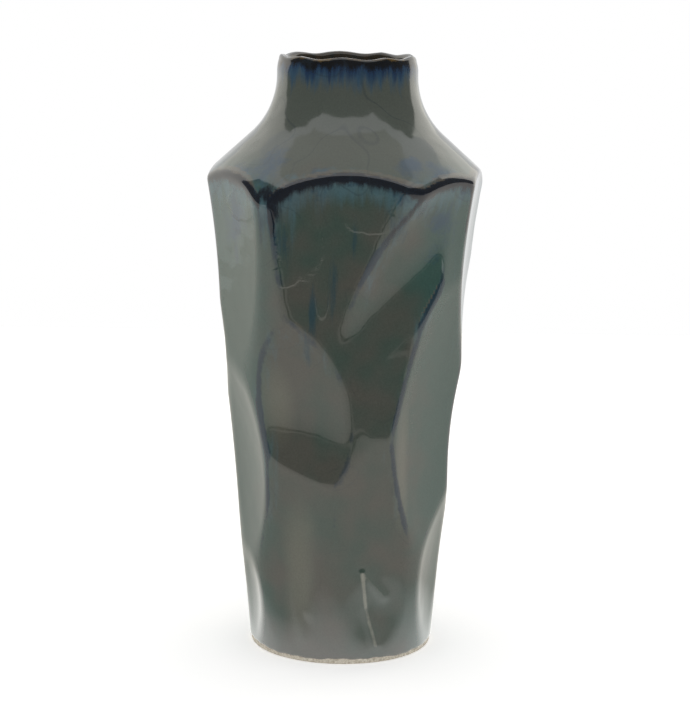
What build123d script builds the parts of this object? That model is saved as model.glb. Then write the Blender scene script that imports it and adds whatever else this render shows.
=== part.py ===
"""Pressed stoneware vase: a turned form with dents pressed into its wall, coated in glaze inside and out.

The foot stands on Z = 0, the axis is Z, and the front of the vase faces -Y.
Every surface of the clay and of the glaze is the same pressed outside, moved inward by a set distance.
"""
import os
from math import atan2, cos, radians, sin, tan
from typing import NamedTuple

from build123d import *

os.makedirs("parts", exist_ok=True)

# Turned outside, before pressing
height = 300.0
foot_radius = 46.6
waist_radius = 60.6
waist_share = 0.63
waist_round = 1200.0
shoulder_radius = 74.0
shoulder_round = 20.0
neck_radius = 35.0
neck_length = 10.0
throat_radius = 39.0
flare_angle = 48.0

# Clay and glaze
coat = 0.6
wall = 4.0
floor = 5.0
floor_round = 8.0
lip_flat = 0.8
glaze_line = 2.6

# Foot ring
foot_ring = 8.0
foot_recess = 3.0
foot_bevel = 0.8
bare_margin = 1.2

# Wavy rim: shallow dips across the lip, at these angles from the front
dip_depth = 1.2
dip_radius = 40.0
dip_reach = 30.0
dip_angles = (-150, -105, -64, -26, 17, 52, 92, 132, 165)

# The long stroke beside the front dent, made with a leaning roller
stroke_angle = 25.0
stroke_drop = 49.5
stroke_depth = 10.6
stroke_radius = 46.0
stroke_lean = 40.0
stroke_length = 240.0


class Press(NamedTuple):
    """One dent: a ball pushed in square to the slope of the lower wall.

    angle is counted from the front, positive to the right, and rise from the height that its row starts from.
    depth is counted from that slope, which the chest stands proud of.
    """

    angle: float
    rise: float
    depth: float
    ball: float


# Upper row, counted from the shoulder: its tops cut the arched edge below the neck
upper_presses = (
    Press(angle=1, rise=-32, depth=6.2, ball=800),
    Press(angle=22, rise=-62, depth=7.4, ball=230),
    Press(angle=51, rise=-26, depth=4.0, ball=160),
    Press(angle=82, rise=-32, depth=4.4, ball=420),
    Press(angle=132, rise=-48, depth=9.0, ball=300),
    Press(angle=182, rise=-50, depth=9.0, ball=300),
    Press(angle=232, rise=-48, depth=9.0, ball=300),
    Press(angle=-100, rise=-32, depth=5.0, ball=420),
    Press(angle=-61, rise=-32, depth=3.4, ball=600),
)

# Middle row, counted from half way up the wall and set between the dents above
middle_presses = (
    Press(angle=55, rise=9, depth=9.2, ball=290),
    Press(angle=94, rise=49, depth=2.6, ball=150),
    Press(angle=94, rise=-7, depth=3.6, ball=200),
    Press(angle=150, rise=5, depth=7.0, ball=120),
    Press(angle=214, rise=-3, depth=7.0, ball=220),
    Press(angle=-90, rise=39, depth=2.2, ball=120),
    Press(angle=-67, rise=-21, depth=5.8, ball=220),
    Press(angle=-19, rise=11, depth=8.4, ball=110),
    Press(angle=-24, rise=-34, depth=3.6, ball=150),
)

# Lower row, counted from the foot, which stays round
lower_presses = (
    Press(angle=18, rise=58, depth=3.2, ball=400),
    Press(angle=21, rise=30, depth=3.8, ball=70),
    Press(angle=72, rise=42, depth=4.4, ball=180),
    Press(angle=130, rise=44, depth=3.6, ball=220),
    Press(angle=182, rise=44, depth=3.6, ball=220),
    Press(angle=240, rise=44, depth=3.6, ball=220),
    Press(angle=-72, rise=27, depth=3.2, ball=105),
    Press(angle=-32, rise=46, depth=3.2, ball=200),
)

# The neck hangs from the lip: one arc turns it out into a cone, which runs down to the shoulder
flare_lean = radians(flare_angle)
neck_foot_height = height - neck_length
throat_foot_radius = neck_radius + throat_radius * (1 - cos(flare_lean))
throat_foot_height = neck_foot_height - throat_radius * sin(flare_lean)
shoulder_height = throat_foot_height - (shoulder_radius - throat_foot_radius) / tan(flare_lean)

# The wall is a cone from the foot to the waist, and the chest opens it further up to the shoulder
waist_height = waist_share * shoulder_height
wall_lean = atan2(waist_radius - foot_radius, waist_height)
chest_lean = atan2(shoulder_radius - waist_radius, shoulder_height - waist_height)

# The lip is two quarter rounds with a narrow flat between them
lip_round = (wall - lip_flat) / 2 + coat
lip_height = height - lip_round
lip_outer = neck_radius - lip_round
lip_inner = lip_outer - lip_flat
mouth_top = height + lip_round

floor_height = foot_recess + floor
recess_radius = foot_radius - coat - foot_ring


def wall_point(inset, rise):
    """Point of the wall's slope, moved inward by inset, at a height."""
    return (foot_radius + rise * tan(wall_lean) - inset / cos(wall_lean), rise)


def chest_point(inset, rise):
    """Point of the chest's slope, moved inward by inset, at a height."""
    return (waist_radius + (rise - waist_height) * tan(chest_lean) - inset / cos(chest_lean), rise)


def waist_point(inset):
    """Corner where the wall's slope and the chest's slope meet, both moved inward by inset."""
    drawn_in = inset / cos(chest_lean) - inset / cos(wall_lean)
    return wall_point(inset, waist_height + drawn_in / (tan(chest_lean) - tan(wall_lean)))


def shoulder_point(inset):
    """Corner where the chest's slope and the flare's slope meet, both moved inward by inset."""
    drawn_in = inset / cos(flare_lean) - inset / cos(chest_lean)
    return chest_point(inset, shoulder_height - drawn_in / (tan(flare_lean) + tan(chest_lean)))


def turned_outline(inset, bottom, hollow):
    """Half section of the turned form, moved inward by inset.

    The solid form ends in the rounded outside of the lip. The hollow one opens through the mouth instead.
    """
    low_wall = wall_point(inset, bottom)
    waist = waist_point(inset)
    shoulder = shoulder_point(inset)
    throat_foot = (
        throat_foot_radius - inset * cos(flare_lean),
        throat_foot_height - inset * sin(flare_lean),
    )
    neck_foot = (neck_radius - inset, neck_foot_height)
    neck_top = (neck_radius - inset, lip_height)
    corner_round = floor_round if hollow else foot_bevel
    with BuildSketch(Plane.XZ) as outline:
        with BuildLine():
            Line((0, bottom), low_wall)
            Line(low_wall, waist)
            Line(waist, shoulder)
            Line(shoulder, throat_foot)
            RadiusArc(throat_foot, neck_foot, throat_radius + inset)
            Line(neck_foot, neck_top)
            if hollow:
                mouth_round = lip_inner - neck_top[0]
                RadiusArc(neck_top, (lip_inner, lip_height + mouth_round), mouth_round)
                Line((lip_inner, lip_height + mouth_round), (lip_inner, mouth_top))
                Line((lip_inner, mouth_top), (0, mouth_top))
                Line((0, mouth_top), (0, bottom))
            else:
                RadiusArc(neck_top, (lip_outer, height - inset), -(lip_round - inset))
                Line((lip_outer, height - inset), (0, height - inset))
                Line((0, height - inset), (0, bottom))
        make_face()
        fillet(outline.vertices().sort_by_distance(shoulder)[0], shoulder_round - inset)
        fillet(outline.vertices().sort_by_distance(waist)[0], waist_round + inset)
        fillet(outline.vertices().sort_by_distance(low_wall)[0], corner_round)
    return outline.sketch


def press_plane(angle, rise, reach, lean=0.0):
    """Plane held off the wall by reach: X points straight out of the wall, Z along it, leaning upward."""
    turn = radians(angle)
    outward = Vector(sin(turn), -cos(turn), 0)
    aside = Vector(cos(turn), sin(turn), 0)
    normal = outward * cos(wall_lean) - Vector(0, 0, sin(wall_lean))
    along = aside * cos(radians(lean)) + normal.cross(aside) * sin(radians(lean))
    touch = outward * wall_point(0, rise)[0] + Vector(0, 0, rise)
    return Plane(origin=touch + normal * reach, x_dir=normal, z_dir=along)


def dip_plane(angle):
    """Plane above the lip at an angle, with its Z axis pointing away from the vase."""
    turn = radians(angle)
    outward = Vector(sin(turn), -cos(turn), 0)
    middle = outward * lip_outer + Vector(0, 0, height - dip_depth + dip_radius)
    return Plane(origin=middle, x_dir=(0, 0, 1), z_dir=outward)


dip_planes = [dip_plane(angle) for angle in dip_angles]


def pressed_form(inset, bottom=0.0, hollow=False):
    """Solid inside the pressed outside, moved inward by inset."""
    rows = ((shoulder_height, upper_presses), (shoulder_height / 2, middle_presses), (0, lower_presses))
    stroke_height = shoulder_height - stroke_drop
    with BuildPart() as form:
        add(turned_outline(inset, bottom, hollow))
        revolve(axis=Axis.Z)
        for row_height, row in rows:
            for press in row:
                with Locations(press_plane(press.angle, row_height + press.rise, press.ball - press.depth)):
                    Sphere(press.ball + inset, mode=Mode.SUBTRACT)
        with Locations(press_plane(stroke_angle, stroke_height, stroke_radius - stroke_depth, stroke_lean)):
            Cylinder(stroke_radius + inset, stroke_length, mode=Mode.SUBTRACT)
        if not hollow:
            with Locations(*dip_planes):
                Cylinder(dip_radius + inset, dip_reach, mode=Mode.SUBTRACT)
    return form.part


glazed_outside = pressed_form(0)
clay_outside = pressed_form(coat)
clay_inside = pressed_form(coat + wall, floor_height, hollow=True)
glazed_inside = pressed_form(coat + wall + coat, floor_height + coat, hollow=True)

# Clay body: wall, shoulder, neck, floor and bare foot ring in one casting
with BuildPart() as stoneware_body:
    add(clay_outside)
    add(clay_inside, mode=Mode.SUBTRACT)
    with BuildSketch(Plane.XY):
        Circle(recess_radius)
    extrude(amount=foot_recess, mode=Mode.SUBTRACT)
stoneware_body.part.label = "stoneware_body"
export_step(stoneware_body.part, "parts/stoneware_body.step")

# Outer glaze: from the seam on top of the lip down to the glaze line above the foot
with BuildPart() as outer_glaze:
    add(glazed_outside)
    add(clay_outside, mode=Mode.SUBTRACT)
    with BuildSketch(Plane.XY):
        Circle(shoulder_radius)
    extrude(amount=glaze_line, mode=Mode.SUBTRACT)
    with BuildSketch(Plane.XY.offset(neck_foot_height)):
        Circle(lip_inner)
    extrude(amount=height - neck_foot_height, mode=Mode.SUBTRACT)
outer_glaze.part.label = "outer_glaze"
export_step(outer_glaze.part, "parts/outer_glaze.step")

# Space inside the seam and above the clay's lip, which the dips make uneven
with BuildPart() as mouth_space:
    with BuildSketch(Plane.XY.offset(neck_foot_height)):
        Circle(lip_inner)
    extrude(amount=mouth_top - neck_foot_height)
    add(clay_outside, mode=Mode.SUBTRACT)

# Liner glaze: the same coat over the inside, up to the seam on top of the lip
with BuildPart() as liner_glaze:
    add(clay_inside)
    add(mouth_space.part)
    add(glazed_inside, mode=Mode.SUBTRACT)
    with Locations(*dip_planes):
        Cylinder(dip_radius, dip_reach, mode=Mode.SUBTRACT)
liner_glaze.part.label = "liner_glaze"
export_step(liner_glaze.part, "parts/liner_glaze.step")

# Foot glaze: a disc of glaze in the recess under the floor, inside the bare ring
with BuildPart() as foot_glaze:
    with BuildSketch(Plane.XY.offset(foot_recess)):
        Circle(recess_radius - bare_margin)
    extrude(amount=-coat)
foot_glaze.part.label = "foot_glaze"
export_step(foot_glaze.part, "parts/foot_glaze.step")
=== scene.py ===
# %% [markdown]
# # A pressed stoneware vase
#
# The vase is one casting of buff stoneware with glaze outside, inside and under its foot. While the clay
# was soft, its wall was pressed into broad dents, so no two sides are alike. This lesson dresses the
# four CAD pieces: it wraps each one in a finer mesh of the same form and gives it its finish.

# %% Load the frame
from math import atan2, cos, pi, radians, sin, tan
from typing import NamedTuple

import bmesh
import bpy
import numpy as np
from mathutils import Matrix, Vector


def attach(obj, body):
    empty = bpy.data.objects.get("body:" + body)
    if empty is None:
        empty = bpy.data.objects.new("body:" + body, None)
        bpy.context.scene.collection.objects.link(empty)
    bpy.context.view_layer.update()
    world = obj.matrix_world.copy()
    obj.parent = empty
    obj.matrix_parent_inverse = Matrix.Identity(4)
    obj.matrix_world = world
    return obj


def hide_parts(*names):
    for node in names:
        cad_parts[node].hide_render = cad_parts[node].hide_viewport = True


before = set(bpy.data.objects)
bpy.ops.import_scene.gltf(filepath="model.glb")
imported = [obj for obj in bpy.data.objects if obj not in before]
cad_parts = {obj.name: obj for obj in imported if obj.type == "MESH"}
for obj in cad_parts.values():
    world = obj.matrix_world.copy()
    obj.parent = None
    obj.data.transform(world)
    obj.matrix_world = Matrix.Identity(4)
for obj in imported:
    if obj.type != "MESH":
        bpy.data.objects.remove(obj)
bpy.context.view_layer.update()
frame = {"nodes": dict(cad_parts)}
print("CAD pieces:", ", ".join(frame["nodes"]))

# %% [markdown]
# ## The camera
#
# The vase was seen from a little above its shoulder, almost level, from about a metre away. The focal
# length is written in picture pixels, because that is how it was measured, and turned into millimetres
# here. A small roll and shift put the axis of the vase where the picture has it.

# %% Camera
PICTURE_WIDTH = 690
FOCAL_PIXELS = 2206.3
SENSOR = 36.0
AXIS_PIXEL = 344.0
LOOK_DOWN = 10.655
ROLL = 0.75
CAMERA_PLACE = (0, -1.100, 0.356)

aim = Matrix.Rotation(radians(90 - LOOK_DOWN), 3, "X") @ Matrix.Rotation(radians(ROLL), 3, "Z")
bpy.ops.object.select_all(action="DESELECT")
bpy.ops.object.camera_add(location=CAMERA_PLACE, rotation=aim.to_euler())
camera = bpy.context.object
camera.data.sensor_fit = "HORIZONTAL"
camera.data.sensor_width = SENSOR
camera.data.lens = SENSOR * FOCAL_PIXELS / PICTURE_WIDTH
camera.data.shift_x = (PICTURE_WIDTH / 2 - AXIS_PIXEL) / PICTURE_WIDTH
bpy.context.scene.camera = camera
bpy.context.scene.view_settings.view_transform = "Standard"
print(f"camera lens {camera.data.lens:.1f} mm")

# %% [markdown]
# ## The turned form
#
# Before it was pressed, the vase was a plain turned shape: a slightly leaning wall, a shoulder, a flare
# and a short neck. It can be written as one radius for each height, in millimetres, with the same
# driving sizes as the CAD source. The inset moves the whole outline inward, so one function serves the
# glaze, the clay and the inside. Only the lip differs from the CAD source: a finger drew it in a little,
# over the last few millimetres.

# %% Turned form
MM = 0.001

height = 300.0
foot_radius = 46.6
waist_share = 0.63
waist_radius = 60.6
waist_blend = 2.2
shoulder_radius = 74.0
shoulder_blend = 10.0
neck_radius = 35.0
neck_length = 10.0
throat_radius = 39.0
flare_lean = radians(48.0)
coat = 0.6
wall = 4.0
lip_flat = 0.8
glaze_line = 2.6

neck_foot_height = height - neck_length
throat_foot_radius = neck_radius + throat_radius * (1 - cos(flare_lean))
throat_foot_height = neck_foot_height - throat_radius * sin(flare_lean)
shoulder_height = throat_foot_height - (shoulder_radius - throat_foot_radius) / tan(flare_lean)
waist_height = waist_share * shoulder_height
wall_lean = atan2(waist_radius - foot_radius, waist_height)
chest_lean = atan2(shoulder_radius - waist_radius, shoulder_height - waist_height)
lip_round = (wall - lip_flat) / 2 + coat
lip_height = height - lip_round
lip_outer = neck_radius - lip_round
lip_inner = lip_outer - lip_flat
lip_ease = 0.9
lip_reach = 6.0


def soft_min(one, other, blend):
    """The smaller of two radii, with the corner between them rounded."""
    share = np.clip(0.5 + 0.5 * (other - one) / blend, 0, 1)
    return other + (one - other) * share - blend * share * (1 - share)


def turned_radius(rise, inset):
    """Radius of the turned form at a height, moved inward by inset."""
    wall_side = foot_radius + rise * tan(wall_lean) - inset / cos(wall_lean)
    chest_side = waist_radius + (rise - waist_height) * tan(chest_lean) - inset / cos(chest_lean)
    wall_side = -soft_min(-wall_side, -chest_side, waist_blend)
    flare_foot = throat_foot_height - inset * sin(flare_lean)
    flare_side = throat_foot_radius - inset * cos(flare_lean) + (flare_foot - rise) * tan(flare_lean)
    bend = throat_radius + inset
    throat_rise = np.clip(rise - neck_foot_height, -bend * sin(flare_lean), 0)
    throat_side = neck_radius + throat_radius - np.sqrt(bend**2 - throat_rise**2)
    upper = np.where(rise > flare_foot, throat_side, flare_side)
    eased = np.where(inset < wall, lip_ease * np.clip((rise - lip_height) / lip_reach + 1, 0, 1) ** 2, 0)
    return soft_min(wall_side, upper, shoulder_blend) - eased


print(f"shoulder at {shoulder_height:.1f} mm, wall leaning {wall_lean * 180 / pi:.1f} degrees")

# %% [markdown]
# ## The dents
#
# Each dent is a ball pushed into the wall, and one long stroke is a leaning roller. Boolean cuts would
# give the same dents with hard, ragged edges. Here each point of the wall simply keeps the smallest of
# the radii that the presses leave it, with a rounded corner between them, so every ridge comes out as
# softly as glaze leaves it and mirrors its surroundings smoothly. The thumb press is the one dent that
# the CAD source lacks: a faint mark, less than half a millimetre deep, below the end of the stroke.


# %% Dents
class Press(NamedTuple):
    """One dent: angle from the front, height, depth and ball radius."""

    angle: float
    rise: float
    depth: float
    ball: float


stroke = Press(angle=25, rise=shoulder_height - 49.5, depth=10.6, ball=46)
stroke_lean = radians(40.0)
ridge_blend = 1.8

upper_presses = (
    Press(angle=1, rise=-32, depth=6.2, ball=800),
    Press(angle=22, rise=-62, depth=7.4, ball=230),
    Press(angle=51, rise=-26, depth=4.0, ball=160),
    Press(angle=82, rise=-32, depth=4.4, ball=420),
    Press(angle=132, rise=-48, depth=9.0, ball=300),
    Press(angle=182, rise=-50, depth=9.0, ball=300),
    Press(angle=232, rise=-48, depth=9.0, ball=300),
    Press(angle=-100, rise=-32, depth=5.0, ball=420),
    Press(angle=-61, rise=-32, depth=3.4, ball=600),
)
middle_presses = (
    Press(angle=55, rise=9, depth=9.2, ball=290),
    Press(angle=94, rise=49, depth=2.6, ball=150),
    Press(angle=94, rise=-7, depth=3.6, ball=200),
    Press(angle=150, rise=5, depth=7.0, ball=120),
    Press(angle=214, rise=-3, depth=7.0, ball=220),
    Press(angle=-90, rise=39, depth=2.2, ball=120),
    Press(angle=-67, rise=-21, depth=5.8, ball=220),
    Press(angle=-19, rise=11, depth=8.4, ball=110),
    Press(angle=-24, rise=-34, depth=3.6, ball=150),
)
lower_presses = (
    Press(angle=18, rise=58, depth=3.2, ball=400),
    Press(angle=21, rise=30, depth=3.8, ball=70),
    Press(angle=72, rise=42, depth=4.4, ball=180),
    Press(angle=130, rise=44, depth=3.6, ball=220),
    Press(angle=182, rise=44, depth=3.6, ball=220),
    Press(angle=240, rise=44, depth=3.6, ball=220),
    Press(angle=-72, rise=27, depth=3.2, ball=105),
    Press(angle=-32, rise=46, depth=3.2, ball=200),
)
thumb_presses = (Press(angle=12, rise=-69, depth=7.2, ball=60),)
rows_of_presses = (
    (shoulder_height, upper_presses),
    (shoulder_height, thumb_presses),
    (shoulder_height / 2, middle_presses),
    (0.0, lower_presses),
)


def press_side(press, turn, rise, inset, lean=None):
    """Distance from the axis to the near side of a ball, or of a roller if it has a lean."""
    at = radians(press.angle)
    outward = Vector((sin(at), -cos(at), 0))
    aside = Vector((cos(at), sin(at), 0))
    square = outward * cos(wall_lean) - Vector((0, 0, sin(wall_lean)))
    touch = outward * (foot_radius + press.rise * tan(wall_lean)) + Vector((0, 0, press.rise))
    middle = touch + square * (press.ball - press.depth)
    ray = np.stack([np.sin(turn), -np.cos(turn), np.zeros_like(turn)])
    start = np.stack([np.full_like(turn, -middle.x), np.full_like(turn, -middle.y), rise - middle.z])
    if lean is not None:
        along = aside * cos(lean) + square.cross(aside) * sin(lean)
        axis = np.array(along).reshape(3, 1, 1)
        ray = ray - axis * (ray * axis).sum(0)
        start = start - axis * (start * axis).sum(0)
    square_term = (ray * ray).sum(0)
    half_term = (ray * start).sum(0)
    rest_term = (start * start).sum(0) - (press.ball + inset) ** 2
    under_root = half_term**2 - square_term * rest_term
    near = (-half_term - np.sqrt(np.maximum(under_root, 0))) / square_term
    return np.where((under_root > 0) & (near > 0), near, 999.0)


def pressed_radius(turn, rise, inset):
    """Radius of the pressed form in each direction and at each height, moved inward by inset."""
    radius = turned_radius(rise, inset)
    for base, row in rows_of_presses:
        for press in row:
            raised = press._replace(rise=base + press.rise)
            radius = soft_min(radius, press_side(raised, turn, rise, inset), ridge_blend)
    return soft_min(radius, press_side(stroke, turn, rise, inset, stroke_lean), ridge_blend)


print("dents:", sum(len(row) for _, row in rows_of_presses) + 1)

# %% [markdown]
# ## A tube of rings
#
# Every piece of the vase goes round its axis, so every piece starts as an open cylinder cut into rings.
# Subdividing only the upright edges adds the rings and leaves the number of columns alone. Each ring is
# then moved to its place on the outline, and doubles are merged, which closes poles and seams.


# %% Tube of rings
def add_tube(name, columns, cuts):
    """Open cylinder of unit steps: cuts[0] times cuts[1] bands of quads, one above the other."""
    bands = cuts[0] * cuts[1]
    bpy.ops.object.select_all(action="DESELECT")
    bpy.ops.mesh.primitive_cylinder_add(vertices=columns, radius=1, depth=bands, end_fill_type="NOTHING")
    tube = bpy.context.object
    tube.name = name
    bpy.ops.object.mode_set(mode="EDIT")
    bpy.ops.mesh.select_mode(type="EDGE")
    for pieces in cuts:
        edit = bmesh.from_edit_mesh(tube.data)
        bpy.ops.mesh.select_all(action="DESELECT")
        for edge in edit.edges:
            edge.select = abs(edge.verts[0].co.z - edge.verts[1].co.z) > 0.5
        edit.select_flush_mode()
        bmesh.update_edit_mesh(tube.data)
        bpy.ops.mesh.subdivide(number_cuts=pieces - 1)
    bpy.ops.object.mode_set(mode="OBJECT")
    return tube


def ring_order(tube, columns):
    """Vertex numbers of a tube: one row for each ring from the bottom, columns by angle from the front."""
    places = np.zeros(len(tube.data.vertices) * 3)
    tube.data.vertices.foreach_get("co", places)
    places = places.reshape(-1, 3)
    ring = np.round(places[:, 2] - places[:, 2].min()).astype(int)
    step = 2 * pi / columns
    column = np.round(np.arctan2(places[:, 0], -places[:, 1]) / step).astype(int) % columns
    return np.lexsort((column, ring)).reshape(-1, columns)


def place_rings(tube, order, points):
    """Moves the rings of a tube to points in millimetres, then closes poles and seams."""
    places = np.zeros((order.size, 3))
    places[order] = points * MM
    tube.data.vertices.foreach_set("co", places.ravel())
    bpy.ops.object.mode_set(mode="EDIT")
    bpy.ops.mesh.select_all(action="SELECT")
    bpy.ops.mesh.remove_doubles(threshold=0.000002)
    bpy.ops.mesh.select_all(action="SELECT")
    bpy.ops.mesh.normals_make_consistent(inside=False)
    bpy.ops.object.mode_set(mode="OBJECT")
    bpy.ops.object.shade_smooth()
    print(f"{tube.name}: {sum(len(face.vertices) - 2 for face in tube.data.polygons)} triangles")


# %% [markdown]
# ## Rows of an outline
#
# A row says where one ring goes: its height, how far inside the pressed form it lies, and, where the
# ring keeps clear of the dents, its radius. The lip and the foot are drawn with quarter rounds, as a
# finger leaves them.


# %% Rows
class Row(NamedTuple):
    """One ring: height, inset, a radius of its own if it has one, and its share of the rim's waves."""

    rise: float
    inset: float
    radius: float = np.nan
    wave: float = 0.0


dip_depth = 1.2
dip_width = 7.5
dip_angles = (-150, -105, -64, -26, 17, 52, 92, 132, 165)


def rim_dip(turn):
    """How far the wavy rim dips at each angle."""
    dip = np.zeros_like(turn)
    for angle in dip_angles:
        away = (turn - radians(angle) + pi) % (2 * pi) - pi
        dip = np.maximum(dip, dip_depth * np.exp(-((away * lip_outer / dip_width) ** 2)))
    return dip


def wall_rows(bottom, top, count, inset):
    """Evenly spaced rows up or down the wall."""
    rises = np.linspace(bottom, top, count)
    waves = np.clip((rises - neck_foot_height) / (lip_height - neck_foot_height), 0, 1)
    return [Row(rise, inset, wave=wave) for rise, wave in zip(rises, waves)]


def round_rows(centre_rise, centre_radius, reach, start, end, count, wave=1.0, ease=0.0):
    """Rows round an arc, by its angle above the outward direction in degrees, drawn in by ease."""
    angles = np.radians(np.linspace(start, end, count))
    across = reach - ease
    return [Row(centre_rise + reach * sin(a), 0, centre_radius + across * cos(a), wave) for a in angles]


def ring_points(rows, columns):
    """Grid of points in millimetres: one ring for each row."""
    turn, rise = np.meshgrid(2 * pi * np.arange(columns) / columns, [row.rise for row in rows])
    inset = np.array([row.inset for row in rows])[:, None]
    fixed = np.array([row.radius for row in rows])[:, None]
    wave = np.array([row.wave for row in rows])[:, None]
    radius = np.where(np.isnan(fixed), pressed_radius(turn, rise, inset), fixed)
    level = rise - wave * rim_dip(turn)
    return np.stack([radius * np.sin(turn), -radius * np.cos(turn), level], -1)


# %% [markdown]
# ## The outer glaze
#
# The outer coat runs from the seam on top of the lip down to the glaze line above the foot, about 0.6 mm
# thick. A Solidify modifier would double a fine mesh, so the hidden side gets its own, wider spaced
# rows, and the two sides meet in a rounded bead at the glaze line and at the seam.

# %% Outer glaze
COLUMNS = 288
OUTER_BANDS = (64, 5)
HIDDEN_ROWS = 46

bead = [
    Row(glaze_line, coat),
    Row(glaze_line + 0.08, coat * 0.45),
    Row(glaze_line + 0.30, coat * 0.12),
]
lip = round_rows(lip_height, lip_outer, lip_round, 0, 90, 8, ease=lip_ease)
seam = [Row(height, 0, lip_outer - lip_flat * share, 1.0) for share in (0.5, 1.0)]
hidden_lip = round_rows(lip_height, lip_outer, lip_round - coat, 90, 0, 3, ease=lip_ease)
seam_foot = [Row(height - coat, 0, lip_inner, 1.0)]
hidden = wall_rows(lip_height, glaze_line, HIDDEN_ROWS, coat)[1:]
turned_in = lip + seam + seam_foot + hidden_lip + hidden
shown_count = OUTER_BANDS[0] * OUTER_BANDS[1] + 1 - len(bead + turned_in)
shown = wall_rows(glaze_line + coat, lip_height, shown_count + 1, 0.0)[:-1]
outer_rows = bead + shown + turned_in

outer_glaze = add_tube("glaze_outside", COLUMNS, OUTER_BANDS)
outer_order = ring_order(outer_glaze, COLUMNS)
outer_points = ring_points(outer_rows, COLUMNS)
outer_rises = np.array([row.rise for row in outer_rows])
turn_grid = 2 * pi * np.arange(COLUMNS)[None, :] / COLUMNS
print(f"{len(shown)} rings show on the outside")

# %% [markdown]
# ## Finger folds
#
# Between the big dents the fingers left low, soft folds, at most 0.9 mm high.
# They are too slight for the CAD part, but the gloss shows them as thin bright lines,
# helped by a light grey painted highlight along each fold.
# Each fold is a straight ridge on the wall, from one angle and height to another.
# The glaze line above the foot wanders up and down too, because a sponge wiped the foot clean by hand.


# %% Finger folds
class Fold(NamedTuple):
    """One low ridge: its two ends as angle from the front and height, its height and its half width."""

    start: tuple
    end: tuple
    lift: float
    half_width: float


folds = (
    Fold((12.5, 47), (15.5, 29), 0.9, 2.4),
    Fold((15.5, 29), (22, 9), 0.8, 2.6),
    Fold((13, 47), (27, 34), 0.7, 2.6),
    Fold((-14, 76), (-10, 54), 0.5, 5.0),
    Fold((-10, 54), (-19, 27), 0.5, 5.0),
    Fold((-31, 42), (-23, 13), 0.4, 4.0),
)
lift = np.zeros((len(outer_rows), COLUMNS))
for fold in folds:
    start = np.array((radians(fold.start[0]) * foot_radius, fold.start[1]))
    run = np.array((radians(fold.end[0]) * foot_radius, fold.end[1])) - start
    across = ((turn_grid + pi) % (2 * pi) - pi) * foot_radius - start[0]
    climb = outer_rises[:, None] - start[1]
    share = np.clip((across * run[0] + climb * run[1]) / (run @ run), 0, 1)
    gap = np.hypot(across - share * run[0], climb - share * run[1])
    lift = np.maximum(lift, fold.lift * np.exp(-((gap / fold.half_width) ** 2)))
lift[len(bead + shown) :] = 0
ragged = np.zeros_like(turn_grid)
for swing, humps, phase in ((0.30, 5, 1), (0.22, 13, 2), (0.16, 37, 0)):
    ragged += swing * np.sin(humps * turn_grid + phase)
droop_reach = 4.0
droop = ragged * np.clip(1 - (outer_rises[:, None] - glaze_line) / droop_reach, 0, 1)
folded_points = outer_points + np.stack([lift * np.sin(turn_grid), -lift * np.cos(turn_grid), droop], -1)
print(f"folds: {len(folds)}, highest {lift.max():.2f} mm")

# %% [markdown]
# ## Where the glaze breaks and runs
#
# In the kiln the glaze slides off every ridge and gathers below it, so its colours follow the form. The
# marks below measure how sharply the wall turns at each point and carry that down the wall, as the melt
# ran. They are stored on the mesh as attributes, which the finish reads later.


# %% Marks of the glaze
def turn_over(points, down, across):
    """Outward turn of the wall, in radians, between neighbours that lie so many rows and columns away."""
    above = np.roll(np.roll(points, down, 0), across, 1)
    below = np.roll(np.roll(points, -down, 0), -across, 1)
    reach = np.linalg.norm(above - below, axis=-1) / 2
    rise_of = ((points - (above + below) / 2) * outer_normals).sum(-1)
    return 2 * np.arcsin(np.clip(rise_of / np.maximum(reach, 0.01), -1, 1))


def carry_down(amounts, rises, length):
    """Each amount runs down its column and fades over a length in millimetres."""
    carried = amounts.copy()
    for row in range(len(rises) - 2, -1, -1):
        fade = np.exp(-abs(rises[row + 1] - rises[row]) / length)
        carried[row] = np.maximum(amounts[row], carried[row + 1] * fade)
    return carried


def spread(amounts, times):
    """Softens amounts by averaging each point with its neighbours, so many times over."""
    for _ in range(times):
        amounts = (np.roll(amounts, 1, 1) + np.roll(amounts, -1, 1) + 2 * amounts) / 4
        upper = np.vstack([amounts[1:], amounts[-1:]])
        lower = np.vstack([amounts[:1], amounts[:-1]])
        amounts = (upper + lower + 2 * amounts) / 4
    return amounts


class Lobe(NamedTuple):
    """One spot on the wall: angle from the front, height, half width and half height."""

    angle: float
    rise: float
    across: float
    along: float


def lobe_field(spots):
    """1 in the middle of the nearest spot, 0.5 at its edge and 0 far away."""
    field = np.zeros((shown_rows, COLUMNS))
    for spot in spots:
        away = ((turn_grid - radians(spot.angle) + pi) % (2 * pi) - pi) * waist_radius / spot.across
        climb = (shown_rises[:, None] - spot.rise) / spot.along
        field = np.maximum(field, 1 - np.sqrt(away**2 + climb**2) / 2)
    return field


# %% [markdown]
# ## Spots of the glaze
# Some spots owe nothing to the marks of the form: a thicker splash, a pool, a stain from the brush, and a
# few patches of painted sheen and painted shade.
# Some spots owe nothing to the form: a thicker splash, a pool, a stain from the brush.
# Each list below is one kind, placed where the photographed vase has something like it.

# %% Spots
# Blue runs that hang below the arched edge and beside the front dent
drips = (
    Lobe(angle=-28.5, rise=218, across=2.6, along=14),
    Lobe(angle=-25, rise=212, across=2.0, along=12),
    Lobe(angle=-33, rise=224, across=4.5, along=7),
    Lobe(angle=4, rise=213, across=2.0, along=13),
    Lobe(angle=-15, rise=180, across=2.2, along=14),
    Lobe(angle=-5.5, rise=192, across=2.4, along=17),
    Lobe(angle=-18, rise=163, across=2.4, along=9),
    Lobe(angle=24, rise=222, across=5, along=9),
    Lobe(angle=33, rise=230, across=4, along=7),
    Lobe(angle=-58, rise=205, across=3, along=6),
)
# Nearly black pools where two edges meet at the left
pools = (
    Lobe(angle=-32, rise=236.5, across=9, along=6),
    Lobe(angle=-28.5, rise=229, across=3.5, along=10),
)
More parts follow.
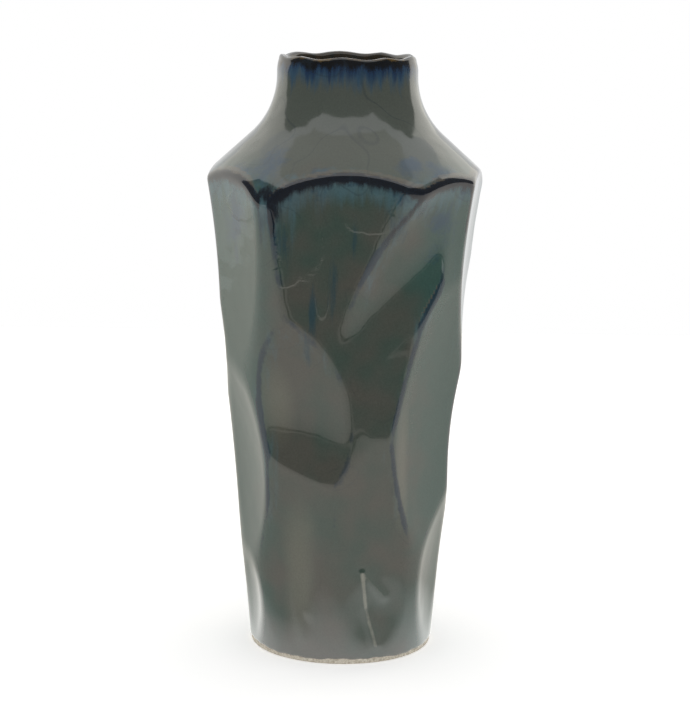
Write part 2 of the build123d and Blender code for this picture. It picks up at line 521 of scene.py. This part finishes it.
# Blue stains on the flare and at the top of the side dents; on the side dents they are also painted shade
stains_and_shade = (
    Lobe(angle=-38, rise=250, across=9, along=7),
    Lobe(angle=-52, rise=244, across=8, along=5),
    Lobe(angle=-11, rise=247, across=6, along=3),
    Lobe(angle=31, rise=250, across=6, along=5),
    Lobe(angle=45, rise=245, across=10, along=5),
    Lobe(angle=49, rise=222, across=9, along=12),
    Lobe(angle=-57, rise=222, across=9, along=12),
)
# Paler places low on the wall; the lowest one is a painted sheen, for light that a soft fold catches
pale_and_sheen_spots = (
    Lobe(angle=-25, rise=48, across=11, along=34),
    Lobe(angle=-36, rise=132, across=9, along=22),
    Lobe(angle=34, rise=100, across=6, along=30),
)
# Thick splashes with an edge that can be felt
lobes = (
    Lobe(angle=-10.5, rise=187, across=3.3, along=10),
    Lobe(angle=-19, rise=212, across=9.5, along=16),
    Lobe(angle=11, rise=224, across=12, along=6),
    Lobe(angle=-26, rise=197, across=6, along=5),
    Lobe(angle=-50, rise=229, across=14, along=7),
)
print("spots:", sum(len(kind) for kind in (drips, pools, stains_and_shade, pale_and_sheen_spots, lobes)))

# %% [markdown]
# ## Measuring the marks
#
# The sharpness of the wall comes from the neighbours of each point, in four directions.
# Every mark is 0 where the melt shows nothing of it and 1 where it shows most.

# %% Measure and store the marks
SHARP_FROM = 0.07
SHARP_RANGE = 0.33
FOOT_ROWS = 6
RUN_FROM = 195.0
RUN_RANGE = 25.0
RUN_LEAST = 0.45
RUN_LENGTH = 7.0
HALO_LENGTH = 10.0
HALO_ROUNDS = 40
HALO_GAIN = 1.5
UPPER_FROM = 228.0
UPPER_RANGE = 34.0
RIM_BAND = 30.0
SIDE_FROM = 18.0
SIDE_RANGE = 30.0

shown_rows = len(bead + shown + lip)
outside = outer_points[:shown_rows]
along_ring = np.roll(outside, -1, 1) - np.roll(outside, 1, 1)
up_wall = np.gradient(outside, axis=0)
outer_normals = np.cross(along_ring, up_wall)
outer_normals /= np.linalg.norm(outer_normals, axis=-1, keepdims=True)

shown_rises = outer_rises[:shown_rows]
turns = [turn_over(outside, *step) for step in ((3, 0), (0, 2), (2, 2), (2, -2))]
ridge = np.clip((np.max(turns, 0) - SHARP_FROM) / SHARP_RANGE, 0, 1)
ridge[:FOOT_ROWS] = 0
ridge[shown_rises > neck_foot_height] = 0
row_below = np.vstack([ridge[:1], ridge[:-1]])
row_above = np.vstack([ridge[1:], ridge[-1:]])
level = shown_rises[:, None] + 0 * turn_grid
run_share = np.clip((level - RUN_FROM) / RUN_RANGE, RUN_LEAST, 1)
run_down = carry_down(ridge * run_share, shown_rises, RUN_LENGTH)
beside = spread(carry_down(ridge, shown_rises, HALO_LENGTH), HALO_ROUNDS)
glaze_marks = {
    "ridge": ridge,
    "crest": np.clip(2 * (row_below - row_above), 0, 1),
    "run": np.maximum(run_down, lobe_field(pools)),
    "stain_and_shade": lobe_field(stains_and_shade),
    "halo": np.clip(HALO_GAIN * beside, 0, 1),
    "upper": np.clip((level - UPPER_FROM) / UPPER_RANGE, 0, 1),
    "rim": np.clip((level - (height - RIM_BAND)) / RIM_BAND, 0, 1),
    "thick": lobe_field(lobes),
    "drip": lobe_field(drips),
    "pale": lobe_field(pale_and_sheen_spots),
    "green": np.clip((np.abs(outside[:, :, 0]) - SIDE_FROM) / SIDE_RANGE, 0, 1),
    # The fold mark also places a painted highlight along the finger folds
    "fold": lift[:shown_rows] / lift.max(),
}
for mark, amounts in glaze_marks.items():
    whole = np.zeros((len(outer_rows), COLUMNS))
    whole[:shown_rows] = amounts
    values = np.zeros(whole.size)
    values[outer_order] = whole
    attribute = outer_glaze.data.attributes.new(mark, "FLOAT", "POINT")
    attribute.data.foreach_set("value", values)
    print(f"{mark}: mean {amounts.mean():.3f}, most {amounts.max():.2f}")

place_rings(outer_glaze, outer_order, folded_points)

# %% [markdown]
# ## The clay body
#
# The bare clay shows only at the foot, where the glaze was wiped off so that the vase would not stick to
# the kiln shelf. It still gets its whole form, from the middle of the recess round the foot ring, up the
# wall, over the lip and down to the floor, because the CAD body's hard ridges would show through the
# softer glaze.

# %% Clay body
CLAY_COLUMNS = 144
CLAY_BANDS = (40, 4)

foot_ring = 8.0
foot_recess = 3.0
foot_bevel = 0.8
floor_height = foot_recess + 5.0
floor_round = 8.0
recess_radius = foot_radius - coat - foot_ring
clay_foot = foot_radius - coat

under = [Row(foot_recess, 0, recess_radius * share) for share in (0, 0.5, 0.97)]
under += [Row(foot_recess - 0.6, 0, recess_radius), Row(0.5, 0, recess_radius)]
under += [Row(0.12, 0, recess_radius + 0.12), Row(0, 0, recess_radius + 0.5)]
under += [Row(0, 0, (recess_radius + clay_foot) / 2)]
under += round_rows(foot_bevel, clay_foot - foot_bevel, foot_bevel, -90, -20, 5, wave=0.0)
floor_rows = round_rows(floor_height + floor_round, 0, floor_round, 0, -90, 7, wave=0.0)
inner_foot = foot_radius - coat - wall + floor_height * tan(wall_lean)
floor_rows = [row._replace(radius=row.radius + inner_foot - floor_round) for row in floor_rows]
floor_rows += [Row(floor_height, 0, 20.0), Row(floor_height, 0, 0.0)]
clay_lip = round_rows(lip_height, lip_outer, lip_round - coat, 0, 90, 4, ease=lip_ease)
clay_lip += round_rows(lip_height, lip_inner, lip_round - coat, 90, 180, 4)
spare = CLAY_BANDS[0] * CLAY_BANDS[1] + 1 - len(under + clay_lip + floor_rows)
clay_wall = wall_rows(1.4, lip_height, spare // 2 + 1, coat)[:-1]
clay_inside = wall_rows(lip_height, floor_height + floor_round + 2, spare - spare // 2 + 1, coat + wall)[1:]

clay_body = add_tube("stoneware", CLAY_COLUMNS, CLAY_BANDS)
clay_rows = under + clay_wall + clay_lip + clay_inside + floor_rows
place_rings(clay_body, ring_order(clay_body, CLAY_COLUMNS), ring_points(clay_rows, CLAY_COLUMNS))

# %% [markdown]
# ## The liner glaze
#
# The inside is glazed by filling the vase and pouring it out, which leaves a coat that thins toward the
# lip. Only the mouth shows it, so its rows lie close together near the lip and far apart below.

# %% Liner glaze
LINER_COLUMNS = 144
LINER_BANDS = (40, 4)

inner_glaze = coat + wall + coat
pool = [row._replace(rise=row.rise + coat, radius=max(row.radius - coat, 0)) for row in floor_rows]
mouth = [Row(height, 0, lip_inner, 1.0)] + round_rows(lip_height, lip_inner, lip_round, 97, 180, 7)
liner_back = floor_rows[::-1] + wall_rows(floor_height + floor_round + 2, lip_height, 40, coat + wall)
liner_back += round_rows(lip_height, lip_inner, lip_round - coat, 180, 90, 4)
deep_count = LINER_BANDS[0] * LINER_BANDS[1] + 1 - len(liner_back + mouth + pool)
liner_wall = wall_rows(lip_height, floor_height + floor_round + 3, deep_count + 1, inner_glaze)[1:]

liner_glaze = add_tube("glaze_inside", LINER_COLUMNS, LINER_BANDS)
liner_rows = liner_back + mouth + liner_wall + pool
place_rings(liner_glaze, ring_order(liner_glaze, LINER_COLUMNS), ring_points(liner_rows, LINER_COLUMNS))

# %% [markdown]
# ## The foot glaze
#
# The recess under the floor holds a thin disc of the same glaze, with a rounded edge where the surface
# tension drew it in. A short cylinder with its rim bevelled is all that it needs.

# %% Foot glaze
bare_margin = 1.2
drawn_edge = 0.45

bpy.ops.object.select_all(action="DESELECT")
bpy.ops.mesh.primitive_cylinder_add(
    vertices=96,
    radius=(recess_radius - bare_margin) * MM,
    depth=coat * MM,
    location=(0, 0, (foot_recess - coat / 2) * MM),
)
foot_glaze = bpy.context.object
foot_glaze.name = "glaze_under_foot"
bpy.ops.object.transform_apply(location=True)
bpy.ops.object.mode_set(mode="EDIT")
bpy.ops.mesh.select_all(action="DESELECT")
edit = bmesh.from_edit_mesh(foot_glaze.data)
low = min(vertex.co.z for vertex in edit.verts)
for edge in edit.edges:
    edge.select = all(abs(vertex.co.z - low) < 0.00001 for vertex in edge.verts)
edit.select_flush_mode()
bmesh.update_edit_mesh(foot_glaze.data)
bpy.ops.mesh.bevel(offset=drawn_edge * MM, segments=4)
bpy.ops.object.mode_set(mode="OBJECT")
bpy.ops.object.shade_smooth_by_angle(angle=radians(40))
print(f"{foot_glaze.name}: {len(foot_glaze.data.polygons)} faces")

# %% [markdown]
# ## Stand-ins for the CAD pieces
#
# Each mesh replaces the CAD node of the same piece and rides on the vase's one body. Its finish is given
# further down.

# %% Replace the CAD pieces
for piece, node, finish in (
    (clay_body, "stoneware_body", "bare_stoneware"),
    (outer_glaze, "outer_glaze", "reactive_glaze"),
    (liner_glaze, "liner_glaze", "liner_glaze"),
    (foot_glaze, "foot_glaze", "reactive_glaze"),
):
    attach(piece, "root")
    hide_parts(node)
    print(piece.name, "stands for", node)

# %% [markdown]
# ## Colours and nodes
#
# Colours are written as sRGB hex values, as a colour picker shows them, and turned into the linear
# values that shaders use. One small function adds a node, sets it up and links it.


# %% Colours and nodes
def linear(hex_colour):
    """Linear RGBA of an sRGB hex colour."""
    parts = [int(hex_colour[at : at + 2], 16) / 255 for at in (1, 3, 5)]
    return [part / 12.92 if part <= 0.04045 else ((part + 0.055) / 1.055) ** 2.4 for part in parts] + [1.0]


def add_node(tree, kind, links=None, values=None, **settings):
    """Adds a node with its own settings, the values of its sockets, and the links that feed it."""
    node = tree.nodes.new(kind)
    for name, setting in settings.items():
        setattr(node, name, setting)
    for socket, value in (values or {}).items():
        node.inputs[socket].default_value = value
    for socket, source in (links or {}).items():
        tree.links.new(source, node.inputs[socket])
    return node


def new_material(name):
    """Empty node material with its shader."""
    material = bpy.data.materials.new(name)
    material.use_nodes = True
    return material, material.node_tree, material.node_tree.nodes["Principled BSDF"]


# %% [markdown]
# ## Reactive glaze
#
# A reactive glaze is a glossy stoneware glaze whose oxides separate in the kiln: grey-green where it
# lies even, milky blue beside the ridges, deep blue where it ran, and brown where it drew back from an
# edge and left the clay thinly covered. The eye sees a clear mirror over a deep, streaked colour.
# Painting a picture of that would only fit one vase, so the marks of the form and a few noises lay the
# colours instead. First come the noises, with the size of their grain in millimetres. Those drawn
# upright look like melted streaks.

# %% Glaze grain
glaze, glaze_tree, glaze_shader = new_material("reactive_stoneware_glaze")
glaze_place = add_node(glaze_tree, "ShaderNodeTexCoord").outputs["Object"]
drawn_out = {"Scale": (1, 1, 1 / 11)}
drawn_place = add_node(glaze_tree, "ShaderNodeMapping", {"Vector": glaze_place}, drawn_out).outputs[0]
grain = {}
for name, place, size, detail in (
    ("cloud", glaze_place, 36, 2),
    ("patch", glaze_place, 11, 3),
    ("lump", glaze_place, 15, 1),
    ("line_noise", glaze_place, 30, 0.6),
    ("fleck", glaze_place, 0.9, 2),
    ("streak", drawn_place, 4.0, 6),
    ("broad", drawn_place, 7.0, 3),
):
    values = {"Scale": 1 / (size * MM), "Detail": detail, "Roughness": 0.7}
    grain[name] = add_node(glaze_tree, "ShaderNodeTexNoise", {"Vector": place}, values).outputs["Fac"]
mark = {}
for name in glaze_marks:
    mark[name] = add_node(glaze_tree, "ShaderNodeAttribute", attribute_name=name).outputs["Fac"]
print("noises:", ", ".join(grain))

# %% [markdown]
# ## Layers of the glaze
#
# The colours are laid one over the other, most as the melt did it. The fold layer is a painted highlight,
# and the pale and stain layers are in part painted sheen and painted shade. Each layer starts where its
# mark of the form, made uneven by a noise, passes a low value, and covers fully at a high one.


# %% Glaze colours
class Layer(NamedTuple):
    """One colour of the glaze: mark, noise and its wander, where it starts and covers, and how much."""

    colour: str
    mark: str
    grain: str
    wander: float
    low: float
    high: float
    most: float


layers = (
    Layer("#2f4e48", "green", "cloud", 0.7, 0.30, 0.90, 0.85),
    # Painted sheen in part: the lowest pale spot lightens a fold as the light falling on it would
    Layer("#5c5e53", "pale", "cloud", 0.5, 0.30, 0.90, 0.75),
    Layer("#4a504a", "upper", "cloud", 0.6, 0.20, 0.90, 0.9),
    # Painted shade in part: this layer also darkens the bright panels of the side dents
    Layer("#213f55", "stain_and_shade", "patch", 1.8, 0.30, 1.00, 0.75),
    Layer("#436470", "halo", "broad", 1.5, 0.42, 1.05, 0.6),
    Layer("#1d3a4c", "halo", "patch", 2.0, 0.85, 1.35, 0.75),
    Layer("#1d3b46", "drip", "streak", 1.6, 0.40, 1.00, 0.75),
    Layer("#15293a", "ridge", "patch", 1.0, 0.48, 0.88, 0.8),
    Layer("#0a111c", "run", "streak", 1.1, 0.55, 0.95, 0.97),
    # Painted highlight: light grey along the finger folds
    Layer("#8f9086", "fold", "patch", 0.4, 0.72, 1.05, 0.8),
    Layer("#5d574c", "crest", "patch", 0.8, 0.70, 1.10, 0.7),
    Layer("#1d4560", "rim", "broad", 1.1, 0.46, 0.84, 0.8),
    Layer("#0e2846", "rim", "streak", 0.9, 0.60, 0.86, 0.92),
    Layer("#03060c", "rim", "streak", 0.5, 0.78, 0.90, 0.98),
    Layer("#6b5526", "rim", "patch", 0.25, 0.965, 1.02, 0.7),
)
cloudy = add_node(
    glaze_tree,
    "ShaderNodeMapRange",
    {"Value": grain["cloud"]},
    {"From Min": 0.40, "From Max": 0.64},
)
base = add_node(
    glaze_tree,
    "ShaderNodeMix",
    {"Factor": cloudy.outputs[0]},
    {6: linear("#484943"), 7: linear("#374740")},
    data_type="RGBA",
)
colour = base.outputs[2]
for layer in layers:
    uneven = add_node(
        glaze_tree,
        "ShaderNodeMath",
        {0: grain[layer.grain], 2: mark[layer.mark]},
        {1: layer.wander},
        operation="MULTIPLY_ADD",
    )
    start = layer.wander / 2
    amount = add_node(
        glaze_tree,
        "ShaderNodeMapRange",
        {"Value": uneven.outputs[0]},
        {"From Min": layer.low + start, "From Max": layer.high + start, "To Max": layer.most},
        interpolation_type="SMOOTHSTEP",
    )
    laid = add_node(
        glaze_tree,
        "ShaderNodeMix",
        {"Factor": amount.outputs[0], 6: colour},
        {7: linear(layer.colour)},
        data_type="RGBA",
    )
    colour = laid.outputs[2]
print("layers:", len(layers))

# %% [markdown]
# ## Painted reflection lines and flecks
#
# Thin, long dark lines are painted on the neck and beside the ridges: painted reflections of the edges of
# the soft boxes. They lie where a wide noise passes its middle value, so they never cross or end abruptly.
# Last come the flecks, a fine grain that keeps the colour from looking printed.

# %% Painted reflection lines and flecks
# Painted reflection: dark lines that stand in for mirrored edges of the soft boxes
REFLECTED_LINE_COLOUR = "#1c2a33"
REFLECTED_LINE_STRENGTH = 0.3

off_line = add_node(
    glaze_tree,
    "ShaderNodeMath",
    {0: grain["line_noise"]},
    {1: 0.5},
    operation="SUBTRACT",
)
line_gap = add_node(glaze_tree, "ShaderNodeMath", {0: off_line.outputs[0]}, operation="ABSOLUTE")
line_place = add_node(
    glaze_tree,
    "ShaderNodeMath",
    {0: mark["halo"], 1: mark["upper"]},
    operation="MAXIMUM",
)
line_most = add_node(
    glaze_tree,
    "ShaderNodeMath",
    {0: line_place.outputs[0]},
    {1: REFLECTED_LINE_STRENGTH},
    operation="MULTIPLY",
)
line_share = add_node(
    glaze_tree,
    "ShaderNodeMapRange",
    {"Value": line_gap.outputs[0], "To Min": line_most.outputs[0]},
    {"From Min": 0.001, "From Max": 0.010, "To Max": 0.0},
    interpolation_type="SMOOTHSTEP",
)
lined = add_node(
    glaze_tree,
    "ShaderNodeMix",
    {"Factor": line_share.outputs[0], 6: colour},
    {7: linear(REFLECTED_LINE_COLOUR)},
    data_type="RGBA",
)
colour = lined.outputs[2]
flecks = add_node(
    glaze_tree,
    "ShaderNodeMapRange",
    {"Value": grain["fleck"]},
    {"From Min": 0.3, "From Max": 0.7, "To Min": 0.92, "To Max": 1.08},
)
flecked = add_node(
    glaze_tree,
    "ShaderNodeMix",
    {6: colour, 7: flecks.outputs[0]},
    {"Factor": 1.0},
    data_type="RGBA",
    blend_type="MULTIPLY",
)
glaze_tree.links.new(flecked.outputs[2], glaze_shader.inputs["Base Color"])
print("glaze nodes so far:", len(glaze_tree.nodes))

# %% [markdown]
# ## Gloss of the glaze
#
# The coat is nearly a mirror, a little duller in its finest grain, and it melted into a slightly wavy
# skin. A bump of about a quarter of a millimetre over lumps of 15 mm bends the edges of every
# reflection, as on a real pot. It is higher on the neck, where the glaze lies thick, and each splash
# ends in a step of a tenth of a millimetre. Lead-free stoneware gloss glazes are rich in oxides, so they
# mirror more strongly than window glass.

# %% Glaze gloss
GLAZE_IOR = 1.75
WAVE_LOW = 0.16
WAVE_HIGH = 0.55
SPLASH_STEP = 0.10

gloss = add_node(
    glaze_tree,
    "ShaderNodeMapRange",
    {"Value": grain["fleck"]},
    {"From Min": 0.3, "From Max": 0.7, "To Min": 0.035, "To Max": 0.075},
)
dulled = add_node(
    glaze_tree,
    "ShaderNodeMath",
    {0: mark["upper"], 2: gloss.outputs[0]},
    {1: 0.06},
    operation="MULTIPLY_ADD",
)
wave_height = add_node(
    glaze_tree,
    "ShaderNodeMapRange",
    {"Value": mark["upper"]},
    {"To Min": WAVE_LOW, "To Max": WAVE_HIGH},
)
wave = add_node(
    glaze_tree,
    "ShaderNodeMath",
    {0: grain["lump"], 1: wave_height.outputs[0]},
    operation="MULTIPLY",
)
lobe_edge = add_node(
    glaze_tree,
    "ShaderNodeMath",
    {0: grain["patch"], 2: mark["thick"]},
    {1: 0.3},
    operation="MULTIPLY_ADD",
)
lobe_step = add_node(
    glaze_tree,
    "ShaderNodeMapRange",
    {"Value": lobe_edge.outputs[0]},
    {"From Min": 0.60, "From Max": 0.70, "To Max": SPLASH_STEP},
    interpolation_type="SMOOTHSTEP",
)
skin = add_node(
    glaze_tree,
    "ShaderNodeMath",
    {0: wave.outputs[0], 1: lobe_step.outputs[0]},
    operation="ADD",
)
waves = add_node(glaze_tree, "ShaderNodeBump", {"Height": skin.outputs[0]}, {"Distance": MM})
glaze_tree.links.new(dulled.outputs[0], glaze_shader.inputs["Roughness"])
glaze_tree.links.new(waves.outputs[0], glaze_shader.inputs["Normal"])
glaze_shader.inputs["IOR"].default_value = GLAZE_IOR
for piece in (outer_glaze, foot_glaze):
    piece.data.materials.append(glaze)
print("glaze on", outer_glaze.name, "and", foot_glaze.name)

# %% [markdown]
# ## Liner glaze
#
# Inside, the same grey-green melt lay thinner and took some brown from the clay. In the mouth the eye
# sees a dark, wet-looking gloss with brown streaks that ran down from the lip.

# %% Liner finish
liner, liner_tree, liner_shader = new_material("dark_green_liner_glaze")
liner_place = add_node(liner_tree, "ShaderNodeTexCoord").outputs["Object"]
liner_drawn = add_node(liner_tree, "ShaderNodeMapping", {"Vector": liner_place}, {"Scale": (1, 1, 1 / 8)})
liner_streak = add_node(
    liner_tree,
    "ShaderNodeTexNoise",
    {"Vector": liner_drawn.outputs[0]},
    {"Scale": 1 / (3 * MM), "Detail": 3.0},
)
liner_share = add_node(
    liner_tree,
    "ShaderNodeMapRange",
    {"Value": liner_streak.outputs["Fac"]},
    {"From Min": 0.35, "From Max": 0.65},
)
liner_colour = add_node(
    liner_tree,
    "ShaderNodeMix",
    {"Factor": liner_share.outputs[0]},
    {6: linear("#1b201c"), 7: linear("#33291a")},
    data_type="RGBA",
)
liner_tree.links.new(liner_colour.outputs[2], liner_shader.inputs["Base Color"])
liner_shader.inputs["Roughness"].default_value = 0.08
liner_shader.inputs["IOR"].default_value = 1.7
liner_glaze.data.materials.append(liner)
print("liner on", liner_glaze.name)

# %% [markdown]
# ## Bare stoneware
#
# The wiped foot shows the fired clay: a dry, matt buff-grey with dark iron grains and sand that a
# fingertip can feel. It breaks the wet gloss of the glaze with a rough, pale line.

# %% Bare stoneware
clay, clay_tree, clay_shader = new_material("bare_buff_stoneware")
clay_place = add_node(clay_tree, "ShaderNodeTexCoord").outputs["Object"]
clay_values = {"Scale": 1 / (1.2 * MM), "Detail": 4.0, "Roughness": 0.7}
clay_sand = add_node(clay_tree, "ShaderNodeTexNoise", {"Vector": clay_place}, clay_values).outputs["Fac"]
clay_share = add_node(
    clay_tree,
    "ShaderNodeMapRange",
    {"Value": clay_sand},
    {"From Min": 0.34, "From Max": 0.62},
)
clay_colour = add_node(
    clay_tree,
    "ShaderNodeMix",
    {"Factor": clay_share.outputs[0]},
    {6: linear("#b0a797"), 7: linear("#e4dfd3")},
    data_type="RGBA",
)
clay_grit = add_node(clay_tree, "ShaderNodeBump", {"Height": clay_sand}, {"Distance": 0.12 * MM})
clay_tree.links.new(clay_colour.outputs[2], clay_shader.inputs["Base Color"])
clay_tree.links.new(clay_grit.outputs[0], clay_shader.inputs["Normal"])
clay_shader.inputs["Roughness"].default_value = 0.9
clay_body.data.materials.append(clay)
print("bare clay on", clay_body.name)

# %% [markdown]
# ## The table
#
# The vase stands on a pale table. The camera sees plain white paper that keeps the vase's shadow. A
# glossy vase shows its table too, and that is what draws its dents: toward the dark room the paper loses
# light, a dark strip lies along its front edge, and close to the foot it glows with painted light that no
# lamp gives. Light Path tells the camera's rays from those that the glaze mirrors, so one material serves
# both.

# %% Table
FRONT_EDGE = -0.60
BACK_EDGE = 0.90
TABLE_WIDTH = 4.6
FADE_END = -0.25
STRIP_INSET = 0.06
STRIP_HALF_WIDTH = 0.02
# Painted light: a glow on the paper near the foot, seen only in the glaze's mirror
GLOW_NEAR = 0.055
GLOW_FAR = 0.125
GLOW = 1.2
CAMERA_LIFT = 0.30

bpy.ops.object.select_all(action="DESELECT")
bpy.ops.mesh.primitive_plane_add(size=1)
table = bpy.context.object
table.name = "pale_table"
table.scale = (TABLE_WIDTH, BACK_EDGE - FRONT_EDGE, 1)
table.location = (0, (BACK_EDGE + FRONT_EDGE) / 2, 0)
bpy.ops.object.transform_apply(location=True, scale=True)
paper, paper_tree, paper_shader = new_material("pale_paper")
paper_shader.inputs["Roughness"].default_value = 0.9
paper_place = add_node(paper_tree, "ShaderNodeTexCoord")
paper_axes = add_node(paper_tree, "ShaderNodeSeparateXYZ", {0: paper_place.outputs["Object"]})
paper_fade = add_node(
    paper_tree,
    "ShaderNodeMapRange",
    {"Value": paper_axes.outputs["Y"]},
    {"From Min": FRONT_EDGE, "From Max": FADE_END, "To Min": 0.45, "To Max": 0.95},
)
paper_line = add_node(
    paper_tree,
    "ShaderNodeMath",
    {0: paper_axes.outputs["Y"]},
    {1: FRONT_EDGE + STRIP_INSET, 2: STRIP_HALF_WIDTH},
    operation="COMPARE",
)
paper_shade = add_node(
    paper_tree,
    "ShaderNodeMath",
    {0: paper_fade.outputs[0], 1: paper_line.outputs[0]},
    operation="SUBTRACT",
    use_clamp=True,
)
paper_shaded = add_node(
    paper_tree,
    "ShaderNodeMix",
    {7: paper_shade.outputs[0]},
    {"Factor": 1.0, 6: linear("#fffaf3")},
    data_type="RGBA",
    blend_type="MULTIPLY",
)
paper_path = add_node(paper_tree, "ShaderNodeLightPath")
paper_colour = add_node(
    paper_tree,
    "ShaderNodeMix",
    {"Factor": paper_path.outputs["Is Camera Ray"], 6: paper_shaded.outputs[2]},
    {7: linear("#f9f9f9")},
    data_type="RGBA",
)
paper_tree.links.new(paper_colour.outputs[2], paper_shader.inputs["Base Color"])
paper_reach = add_node(
    paper_tree,
    "ShaderNodeVectorMath",
    {0: paper_place.outputs["Object"]},
    operation="LENGTH",
)
# Painted light: near the foot the paper glows for mirror rays only
paper_near = add_node(
    paper_tree,
    "ShaderNodeMapRange",
    {"Value": paper_reach.outputs["Value"]},
    {"From Min": GLOW_NEAR, "From Max": GLOW_FAR, "To Min": GLOW, "To Max": 0.0},
)
paper_glow = add_node(
    paper_tree,
    "ShaderNodeMath",
    {0: paper_path.outputs["Is Glossy Ray"], 1: paper_near.outputs[0]},
    operation="MULTIPLY",
)
paper_white = add_node(
    paper_tree,
    "ShaderNodeMath",
    {0: paper_path.outputs["Is Camera Ray"], 2: paper_glow.outputs[0]},
    {1: CAMERA_LIFT},
    operation="MULTIPLY_ADD",
)
paper_shader.inputs["Emission Color"].default_value = (1, 1, 1, 1)
paper_tree.links.new(paper_white.outputs[0], paper_shader.inputs["Emission Strength"])
table.data.materials.append(paper)
print(f"{table.name}: {TABLE_WIDTH} m wide, {BACK_EDGE - FRONT_EDGE} m deep")

# %% [markdown]
# ## Soft boxes and the dark room
#
# Two soft boxes stand behind the vase at its sides and draw the bright lines along its outline, and one
# hangs overhead. The room in front and two flags at the sides are dark. The glaze mirrors them, which
# gives the neck its dark window, but they take no light away from the vase.

# %% Lights
CLOTH_TINT = "#fffcf4"
DARK = 0.10


def soft_box(name, size, place, turn, radiance):
    """Flat soft box of a size, place and turn in degrees, as bright as radiance where it is mirrored."""
    bpy.ops.object.select_all(action="DESELECT")
    bpy.ops.mesh.primitive_plane_add(size=1, location=place, rotation=[radians(value) for value in turn])
    box = bpy.context.object
    box.name = name
    box.scale = (size[0], size[1], 1)
    bpy.ops.object.transform_apply(location=True, rotation=True, scale=True)
    box.visible_camera = False
    cloth, cloth_tree, cloth_shader = new_material(name + "_cloth")
    cloth_shader.inputs["Base Color"].default_value = (0, 0, 0, 1)
    cloth_shader.inputs["Emission Color"].default_value = linear(CLOTH_TINT)
    cloth_shader.inputs["Emission Strength"].default_value = radiance
    box.data.materials.append(cloth)
    return box


soft_box("left_soft_box", (1.1, 1.2), (-0.75, 0.90, 0.55), (0, 90, -6), 1.1)
soft_box("right_soft_box", (1.1, 1.2), (0.75, 1.05, 0.55), (0, -90, 6), 1.45)
soft_box("overhead_soft_box", (1.0, 0.6), (0, 0.1, 1.1), (180, 0, 0), 0.7)
dark_room = soft_box("dark_room", (8, 4), (0, -2.2, 1.0), (90, 0, 0), DARK)
left_flag = soft_box("left_flag", (3.0, 3.1), (-2.25, -0.65, 1.5), (0, 90, 0), DARK)
right_flag = soft_box("right_flag", (3.0, 3.7), (2.25, -0.35, 1.5), (0, -90, 0), DARK)
for dark in (dark_room, left_flag, right_flag):
    dark.visible_diffuse = False
    dark.visible_shadow = False

# %% [markdown]
# ## The world
#
# Soft light comes from all round. Where the camera or a mirror sees past the table, the world is plain
# white.

# %% World
FILL = 0.9

world = bpy.data.worlds.new("studio")
world.use_nodes = True
bpy.context.scene.world = world
sky_tree = world.node_tree
sky = sky_tree.nodes["Background"]
sky.inputs["Color"].default_value = (1, 1, 1, 1)
path = add_node(sky_tree, "ShaderNodeLightPath")
seen = add_node(
    sky_tree,
    "ShaderNodeMath",
    {0: path.outputs["Is Camera Ray"], 1: path.outputs["Is Glossy Ray"]},
    operation="MAXIMUM",
)
shown_rays = add_node(
    sky_tree,
    "ShaderNodeMath",
    {0: seen.outputs[0], 1: path.outputs["Is Transmission Ray"]},
    operation="MAXIMUM",
)
strength = add_node(
    sky_tree,
    "ShaderNodeMapRange",
    {"Value": shown_rays.outputs[0]},
    {"To Min": FILL, "To Max": 1.0},
)
sky_tree.links.new(strength.outputs[0], sky.inputs["Strength"])
print("fill light:", FILL)
